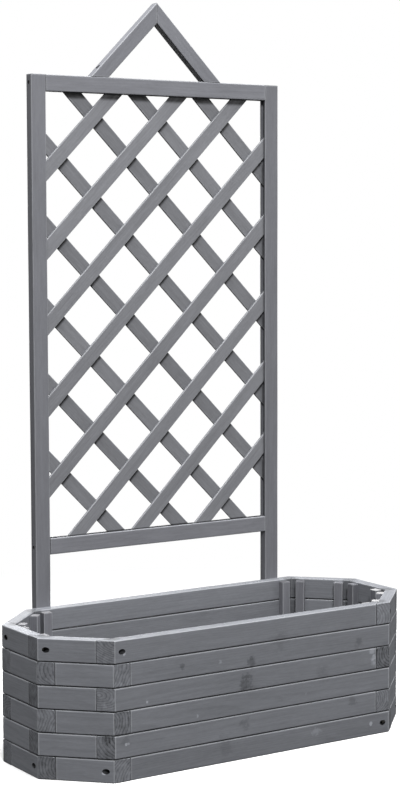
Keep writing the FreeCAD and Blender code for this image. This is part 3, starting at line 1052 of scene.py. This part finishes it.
def slat(number, rise):
    """A slat through the opening, measured from where its middle line crosses the opening's middle.
    A falling slat gets painted shade just below each rising slat that lies over it, as its shadow."""
    offset = slat_offset(number, rise)
    run = np.array([1, 0, rise]) / math.sqrt(2)
    across = np.array([-rise, 0, 1.0]) / math.sqrt(2)
    layer = post_y - rise * slat_depth / 2
    board = Board((0, layer, opening_middle + offset), run, across, SLAT_WIDTH, slat_depth, SLAT_RADIUS,
                  random)

    def reach(a, way):
        """Distance along the run to the first side met, going one way. X is (run - rise * across) and
        Z is (rise * run + across), each over root two, so each side gives one distance."""
        to_side = way * half_wide * math.sqrt(2) + rise * a
        to_edge = (way * half_high - rise * offset) * math.sqrt(2) - rise * a
        return np.minimum(to_side, to_edge) if way > 0 else np.maximum(to_side, to_edge)

    marks = []
    board.painted_light = RISING_PAINTED_LIGHT if rise > 0 else 1.0
    if rise < 0:
        board.shaded = [(offset - slat_offset(other, 1)) / math.sqrt(2) + SLAT_WIDTH / 2
                        for other in range(1, SLAT_COUNT + 1)]
        marks = [edge + step * SHADE_REACH for edge in board.shaded for step in SHADE_RINGS]
    return board.surface(lambda a, o: reach(a, -1), lambda a, o: reach(a, 1), 24 if rise > 0 else 4, marks)


for number in range(1, SLAT_COUNT + 1):
    make_piece("rising_lath_%d" % number, [slat(number, 1)], "slat_wood", "rising_slat_%d" % number)
    make_piece("falling_lath_%d" % number, [slat(number, -1)], "slat_wood", "falling_slat_%d" % number)
print("slats built")

# %% [markdown]
# ## Floor of the trough
# Short boards lie across the trough with gaps that let water out. They rest on ledgers along the foot of each
# wall. The end boards are cut slantwise by the corner walls, so four slanted blocks are taken away from them.

# %% Build the floor
deck_low, deck_high = box("floor_boards")
ledger_low, ledger_high = box("floor_ledgers")
DECK_COUNT = 13
DECK_GAP = 8.0 * MM
LEDGER_DEPTH = 34.0 * MM
LEDGER_GAP = 1.0 * MM
deck_inset = end_x - deck_high[0]
slant_reach = (face_x + (back_y - front_y) / 2) / math.sqrt(2) - deck_inset
deck_pitch = (deck_high[0] - deck_low[0] + DECK_GAP) / DECK_COUNT
WEDGE = 0.4


def corner_wedge(side, end):
    """A block outside one of the trough's slanted corners."""
    out = np.array([side, end, 0]) / math.sqrt(2)
    points, faces = box_mesh((slant_reach, -WEDGE, 0), (slant_reach + WEDGE, WEDGE, 2 * deck_high[2]))
    turned_points = (np.multiply.outer(points[:, 0], out) + np.multiply.outer(points[:, 1], np.cross(UP, out))
                     + np.multiply.outer(points[:, 2], UP) + np.array([0, middle_y, 0]))
    return turned_points, faces


deck = []
for number in range(DECK_COUNT):
    left = deck_low[0] + number * deck_pitch
    width = deck_pitch - DECK_GAP
    middle = (left + width / 2, 0, (deck_low[2] + deck_high[2]) / 2)
    board = Board(middle, (0, 1, 0), (1, 0, 0), width, deck_high[2] - deck_low[2], SAWN_RADIUS, random)
    board.surface(level(deck_low[1]), level(deck_high[1]), 12)
    if abs(middle[0]) + width / 2 > slant_reach * math.sqrt(2) - deck_high[1] + middle_y:
        side = math.copysign(1, middle[0])
        cut(board, [corner_wedge(side, -1), corner_wedge(side, 1)])
    deck.append(board)
make_piece("trough_deck", deck, "floor_wood", "floor_boards")

ledgers = []
for index in range(8):
    start, _, direction, inward = wall_line(index)
    first, last = inner_span(index, BATTEN_SETBACK + BATTEN_WIDTH + LEDGER_GAP)
    middle = start + inward * (plank_depth + LEDGER_DEPTH / 2) + UP * (ledger_low[2] + ledger_high[2]) / 2
    board = Board(middle, direction, UP, ledger_high[2] - ledger_low[2], LEDGER_DEPTH, SAWN_RADIUS, random)
    ledgers.append(board.surface(level(first), level(last), 12))
make_piece("trough_ledgers", ledgers, "floor_wood", "floor_ledgers")
print("floor built:", len(deck), "boards and", len(ledgers), "ledgers")

# %% [markdown]
# ## Screws
# Each screw is a profile turned about its axis. The recess in its head is a ring of points in the shape of a
# cross, and a second, smaller ring sunk below it.

# %% Turn the screws
TURN_STEPS = 48
RECESS_ARM = 0.30
RECESS_HALF_WIDTH = 0.075
RECESS_DEPTH = 1.5 * MM
POINT_LENGTH = 5.0 * MM


def cross_outline(turn, arm, half_width):
    """Distance from the axis to the edge of an upright cross, for each angle."""
    cosine, sine = np.abs(np.cos(turn)) + 1e-9, np.abs(np.sin(turn)) + 1e-9
    flat = np.minimum(arm / cosine, half_width / sine)
    tall = np.minimum(half_width / cosine, arm / sine)
    return np.maximum(flat, tall)


def turned_screw(seat, axis, head, head_height, shank, length):
    """Points and faces of one screw. Its head stands over the seat and its point lies along the axis."""
    turn = np.linspace(0, 2 * math.pi, TURN_STEPS, endpoint=False)
    recess = cross_outline(turn, RECESS_ARM * head, RECESS_HALF_WIDTH * head)
    rings = [(recess * 0.8, RECESS_DEPTH - head_height), (recess, -head_height)]
    rings += [(head / 2 * share + turn * 0, -head_height * rise)
              for share, rise in ((0.75, 1.0), (0.92, 0.88), (0.99, 0.66), (1.0, 0.45), (1.0, 0.0))]
    rings += [(shank / 2 + turn * 0, 0.0), (shank / 2 + turn * 0, length - POINT_LENGTH)]
    around = circle(axis, turn)
    points = [seat + axis * rings[0][1]]
    for radius, height in rings:
        points += list(seat + around * radius[:, None] + axis * height)
    points.append(seat + axis * length)
    ring = np.arange(TURN_STEPS)
    after = (ring + 1) % TURN_STEPS
    faces = [[0, 1 + b, 1 + a] for a, b in zip(ring, after)]
    for number in range(len(rings) - 1):
        here, there = 1 + number * TURN_STEPS, 1 + (number + 1) * TURN_STEPS
        faces += np.stack([here + ring, here + after, there + after, there + ring], 1).tolist()
    last = 1 + (len(rings) - 1) * TURN_STEPS
    faces += [[last + a, last + b, len(points) - 1] for a, b in zip(ring, after)]
    return np.array(points), [[int(corner) for corner in face] for face in faces]


def screw_piece(name, seats, node, head, head_height, shank, length):
    """All screws of one kind as one object in the place of their node."""
    points, faces, first = [], [], 0
    for seat, axis in seats:
        own_points, own_faces = turned_screw(seat, axis, head, head_height, shank, length)
        points.append(own_points)
        faces += [[first + corner for corner in face] for face in own_faces]
        first += len(own_points)
    mesh = bpy.data.meshes.new(name)
    mesh.from_pydata(np.vstack(points).tolist(), [], faces)
    mesh.polygons.foreach_set("use_smooth", [True] * len(mesh.polygons))
    mesh.set_sharp_from_angle(angle=SHARP_ANGLE)
    place_piece(mesh, "screw_steel", node)


# Width and height of the head, and width of the shank.
CORNER_SCREW = (9.6 * MM, 2.6 * MM, 5.0 * MM)
SLIM_SCREW = (7.6 * MM, 2.2 * MM, 4.2 * MM)
for kind, seats, sizes, length in (("corner", corner_seats, CORNER_SCREW, 56.0),
                                   ("frame", frame_seats, SLIM_SCREW, 66.0),
                                   ("back", back_seats, SLIM_SCREW, 42.0),
                                   ("gable", gable_seats, SLIM_SCREW, 36.0)):
    screw_piece(kind + "_screw_set", seats, kind + "_screws", *sizes, length * MM)
print("screws turned:", len(corner_seats) + len(frame_seats) + len(back_seats) + len(gable_seats))

# %% [markdown]
# ## Stage and light
# A pale floor, a sky and four soft lamps: a broad one overhead, a key from the front left, a weak fill from
# the right and one behind, which the photograph has no trace of but which lets the planter's back be seen.
# Floor and sky are white to the camera. To the wood the floor is dark grey and the sky is dim near the
# ground, so that undersides stay as dark as they are out of doors.

# %% Floor
floor_mesh = bpy.data.meshes.new("floor")
floor_mesh.from_pydata([(-30, -30, 0), (30, -30, 0), (30, 30, 0), (-30, 30, 0)], [], [(0, 1, 2, 3)])
floor = new_object("floor", floor_mesh)


FLOOR_NEAR = 0.9
FLOOR_FAR = 2.2


def floor_paint():
    """Pale paint to the camera that turns pure white further out, and dark grey to the wood."""
    r = Recipe("floor_paint")
    path = r.add("ShaderNodeLightPath", {}, out="Is Camera Ray")
    through = Socket(r, path.socket.node.outputs["Is Transmission Ray"])
    seen = r.add("ShaderNodeMath", dict(operation="ADD", use_clamp=True), path, through)
    color = r.mix(seen, grey(66), grey(252))
    place = r.add("ShaderNodeTexCoord", {}, out="Object")
    reach = r.add("ShaderNodeVectorMath", dict(operation="LENGTH"), place, out="Value")
    far = reach.step(FLOOR_NEAR, FLOOR_FAR) * seen
    painted = r.add("ShaderNodeBsdfDiffuse", {}, Color=color)
    white = r.add("ShaderNodeEmission", {}, Color=grey(255), Strength=1.0)
    both = r.add("ShaderNodeMixShader", {}, far, painted, white)
    r.add("ShaderNodeOutputMaterial", {}, Surface=both)
    return r.material


floor_mesh.materials.append(floor_paint())

# %% Sky and lamps
world = bpy.data.worlds.new("world")
bpy.context.scene.world = world
world.use_nodes = True
world.node_tree.nodes.clear()


def sky(strength):
    """White to the camera. To the wood it is a sky that is brightest overhead and dim near the ground,
    at full strength in reflections and weaker as plain light."""
    nodes, links = world.node_tree.nodes, world.node_tree.links

    def node(kind, inputs=(), operation=None):
        new = nodes.new(kind)
        if operation:
            new.operation = operation
        for name, value in inputs:
            if isinstance(value, bpy.types.NodeSocket):
                links.new(value, new.inputs[name])
            else:
                new.inputs[name].default_value = value
        return new

    path = node("ShaderNodeLightPath")
    upward = node("ShaderNodeSeparateXYZ", [(0, node("ShaderNodeTexCoord").outputs["Generated"])])
    overhead = node("ShaderNodeMapRange", [("Value", upward.outputs[2]), ("From Min", SKY_LOW),
                                           ("From Max", SKY_HIGH), ("To Min", GROUND_SHARE)])
    gain = node("ShaderNodeMapRange", [("Value", path.outputs["Is Glossy Ray"]), ("To Min", strength)])
    dim = node("ShaderNodeMath", [(0, overhead.outputs[0]), (1, gain.outputs[0])], "MULTIPLY")
    camera, through = path.outputs["Is Camera Ray"], path.outputs["Is Transmission Ray"]
    seen = node("ShaderNodeMath", [(0, camera), (1, through)], "MAXIMUM")
    power = node("ShaderNodeMath", [(0, dim.outputs[0]), (1, seen.outputs[0])], "MAXIMUM")
    background = node("ShaderNodeBackground", [("Color", (1, 1, 1, 1)), ("Strength", power.outputs[0])])
    node("ShaderNodeOutputWorld", [("Surface", background.outputs[0])])


def softbox(name, place, target, size, power):
    """A square area lamp that looks at a point."""
    data = bpy.data.lights.new(name, "AREA")
    data.size = size
    data.energy = power
    lamp = new_object(name, data)
    lamp.location = place
    lamp.rotation_euler = (Vector(target) - Vector(place)).to_track_quat("-Z", "Y").to_euler()


SKY_LOW = -0.3
SKY_HIGH = 0.5
GROUND_SHARE = 0.4
SKY_STRENGTH = 0.42
sky(SKY_STRENGTH)
softbox("overhead", (0.3, -0.2, 6.3), (0, 0, 0.6), 2.2, 570)
softbox("fill", (3.6, -2.6, 1.4), (0, 0, 0.5), 2.0, 40)
softbox("key", (-1.9, -4.3, 4.5), (0, 0, 0.7), 0.9, 290)
softbox("back", (1.2, 4.6, 1.1), (0, 0.2, 0.7), 2.2, 115)
print("stage lit")
